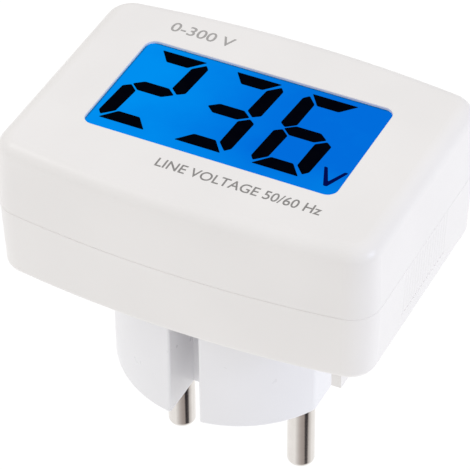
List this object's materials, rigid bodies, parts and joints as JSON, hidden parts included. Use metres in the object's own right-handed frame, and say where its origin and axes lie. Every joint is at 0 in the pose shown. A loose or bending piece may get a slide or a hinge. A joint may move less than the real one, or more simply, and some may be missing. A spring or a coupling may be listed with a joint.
{
  "type": "plug-in mains voltmeter",
  "caption": "Rounded white two-shell case with a blue backlit display window, on a round grooved plug turret with bare round contact pins.",
  "frame": {"origin": "centre of the plug turret's end face, the face that bottoms in the socket", "axes": "+Z out of the display, so the contact pins point along -Z; +X along the display's long side and along the line of the pins; +Y towards the top of the digits"},
  "size_m": [0.0552, 0.0411, 0.0587],
  "materials": {
    "white_abs": "injection-moulded white ABS, satin gloss",
    "turret_plastic": "injection-moulded cool white thermoplastic, satin",
    "nickel_brass": "turned brass, bright nickel plate",
    "zinc_steel": "zinc-plated steel",
    "circuit_board": "glass-epoxy laminate with green solder mask",
    "frame_plastic": "white moulded plastic and film",
    "clear_acrylic": "clear moulded acrylic",
    "lamp_body": "white plastic lamp body with yellow lens",
    "contact_rubber": "layered silicone rubber",
    "display_film": "blue backlit display film",
    "display_glass": "thin float glass",
    "black_epoxy": "black moulded epoxy",
    "tinned_leads": "tin-plated copper",
    "capacitor_box": "blue filled plastic",
    "capacitor_sleeve": "dark shrink sleeve over an aluminium can",
    "resistor_body": "beige coated ceramic",
    "diode_glass": "small glass body",
    "chip_ceramic": "fired ceramic with tinned ends",
    "wire_jacket": "extruded PVC insulation",
    "shrink_sleeve": "shrunk polyolefin tube"
  },
  "bodies": {
    "root": {"backlight_lamps": "lamp_body", "bleed_resistors": "resistor_body", "board_screws": "zinc_steel", "calibration_trimmer": "capacitor_box", "case_screws": "zinc_steel", "chip_capacitors": "chip_ceramic", "chip_resistors": "chip_ceramic", "contact_strip": "contact_rubber", "controller_chip": "black_epoxy", "controller_legs": "tinned_leads", "diffuser_film": "frame_plastic", "display_frame": "frame_plastic", "electrolytic_capacitor": "capacitor_sleeve", "film_capacitor": "capacitor_box", "front_cover": "white_abs", "front_glass": "display_glass", "front_polarizer": "display_film", "fusible_resistor": "resistor_body", "light_guide": "clear_acrylic", "line_pin": "nickel_brass", "line_wire": "wire_jacket", "main_board": "circuit_board", "neutral_pin": "nickel_brass", "neutral_wire": "wire_jacket", "pin_retainer": "turret_plastic", "plug_turret": "turret_plastic", "rear_base": "white_abs", "rear_glass": "display_glass", "rear_polarizer": "display_film", "rectifier_diodes": "black_epoxy", "reflector_film": "frame_plastic", "retainer_screws": "zinc_steel", "turret_screws": "zinc_steel", "wire_sleeves": "shrink_sleeve", "zener_diode": "diode_glass"}
  },
  "joints": []
}
